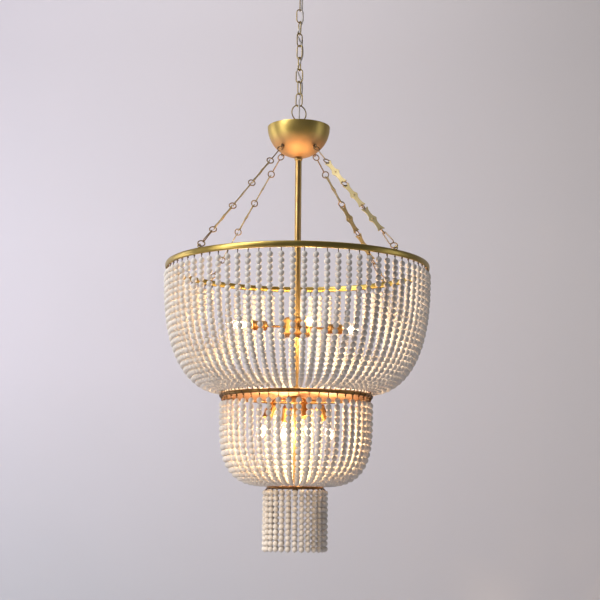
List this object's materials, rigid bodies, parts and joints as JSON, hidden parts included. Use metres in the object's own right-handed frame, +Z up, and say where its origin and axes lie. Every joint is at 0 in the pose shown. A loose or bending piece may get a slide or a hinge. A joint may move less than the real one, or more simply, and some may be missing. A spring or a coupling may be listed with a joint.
{
  "type": "beaded chandelier",
  "caption": "Tiered chandelier of wooden beads on brass hoops with candle lamps, hung from a brass bowl on a link chain under a ceiling canopy.",
  "frame": {"origin": "centre of the bracket's flat face on the ceiling", "axes": "+Z up, out of the bracket's face into the ceiling, +X to the right and -Y towards the viewer of the picture"},
  "size_m": [0.65, 0.65, 1.4468],
  "materials": {
    "antique_brass": "satin antique brass",
    "bracket_steel": "plain plated steel",
    "wood_beads": "matt whitewashed wood",
    "bulb_glass": "clear candle bulb, lit",
    "cord_skin": "pale translucent cable"
  },
  "bodies": {
    "canopy": {"ceiling_bracket": "bracket_steel", "canopy": "antique_brass", "canopy_loop": "antique_brass"},
    "chain": {"chain_link_2": "antique_brass", "chain_link_3": "antique_brass", "chain_link_4": "antique_brass", "chain_link_5": "antique_brass", "chain_link_6": "antique_brass", "chain_link_7": "antique_brass", "chain_link_8": "antique_brass", "chain_link_9": "antique_brass", "power_cord": "cord_skin"},
    "fixture": {"chain_link_1": "antique_brass", "bowl_loop": "antique_brass", "bowl": "antique_brass", "stem": "antique_brass", "upper_tier": "wood_beads", "hanger_front_left_top": "antique_brass", "hanger_front_left_bar_1": "antique_brass", "hanger_front_left_bar_2": "antique_brass", "hanger_front_left_bar_3": "antique_brass", "hanger_front_left_end": "antique_brass", "hanger_front_right_top": "antique_brass", "hanger_front_right_bar_1": "antique_brass", "hanger_front_right_bar_2": "antique_brass", "hanger_front_right_bar_3": "antique_brass", "hanger_front_right_end": "antique_brass", "hanger_back_right_top": "antique_brass", "hanger_back_right_bar_1": "antique_brass", "hanger_back_right_bar_2": "antique_brass", "hanger_back_right_bar_3": "antique_brass", "hanger_back_right_end": "antique_brass", "hanger_back_left_top": "antique_brass", "hanger_back_left_bar_1": "antique_brass", "hanger_back_left_bar_2": "antique_brass", "hanger_back_left_bar_3": "antique_brass", "hanger_back_left_end": "antique_brass", "lower_tier": "wood_beads", "middle_plate": "antique_brass", "bottom_plate": "antique_brass", "tassel": "wood_beads", "finial": "antique_brass", "upper_lamp_frame": "antique_brass", "lower_lamp_frame": "antique_brass"},
    "upper_bulb_1": {"upper_bulb_1": "bulb_glass"},
    "upper_bulb_2": {"upper_bulb_2": "bulb_glass"},
    "upper_bulb_3": {"upper_bulb_3": "bulb_glass"},
    "upper_bulb_4": {"upper_bulb_4": "bulb_glass"},
    "lower_bulb_1": {"lower_bulb_1": "bulb_glass"},
    "lower_bulb_2": {"lower_bulb_2": "bulb_glass"},
    "lower_bulb_3": {"lower_bulb_3": "bulb_glass"},
    "lower_bulb_4": {"lower_bulb_4": "bulb_glass"}
  },
  "joints": [
    {"name": "chain_sway", "type": "hinge", "parent": "canopy", "child": "chain", "pos_m": [0, 0, -0.0608], "axis": [1, 0, 0], "range_deg": [-20, 20], "deforming": ["power_cord"]},
    {"name": "fixture_tilt", "type": "hinge", "parent": "chain", "child": "fixture", "pos_m": [0, 0, -0.3124], "axis": [0.4067, 0.9135, 0], "range_deg": [-15, 15], "deforming": ["power_cord"]},
    {"name": "upper_bulb_1_turn", "type": "hinge", "parent": "fixture", "child": "upper_bulb_1", "pos_m": [0.11012, 0.02951, -0.9033], "axis": [0.9659, 0.2588, 0], "continuous": true},
    {"name": "upper_bulb_2_turn", "type": "hinge", "parent": "fixture", "child": "upper_bulb_2", "pos_m": [-0.02951, 0.11012, -0.9033], "axis": [-0.2588, 0.9659, 0], "continuous": true},
    {"name": "upper_bulb_3_turn", "type": "hinge", "parent": "fixture", "child": "upper_bulb_3", "pos_m": [-0.11012, -0.02951, -0.9033], "axis": [-0.9659, -0.2588, 0], "continuous": true},
    {"name": "upper_bulb_4_turn", "type": "hinge", "parent": "fixture", "child": "upper_bulb_4", "pos_m": [0.02951, -0.11012, -0.9033], "axis": [0.2588, -0.9659, 0], "continuous": true},
    {"name": "lower_bulb_1_turn", "type": "hinge", "parent": "fixture", "child": "lower_bulb_1", "pos_m": [0.06947, 0.02528, -1.12821], "axis": [0.3444, 0.1254, -0.9304], "continuous": true},
    {"name": "lower_bulb_2_turn", "type": "hinge", "parent": "fixture", "child": "lower_bulb_2", "pos_m": [-0.02528, 0.06947, -1.12821], "axis": [-0.1254, 0.3444, -0.9304], "continuous": true},
    {"name": "lower_bulb_3_turn", "type": "hinge", "parent": "fixture", "child": "lower_bulb_3", "pos_m": [-0.06947, -0.02528, -1.12821], "axis": [-0.3444, -0.1254, -0.9304], "continuous": true},
    {"name": "lower_bulb_4_turn", "type": "hinge", "parent": "fixture", "child": "lower_bulb_4", "pos_m": [0.02528, -0.06947, -1.12821], "axis": [0.1254, -0.3444, -0.9304], "continuous": true}
  ]
}
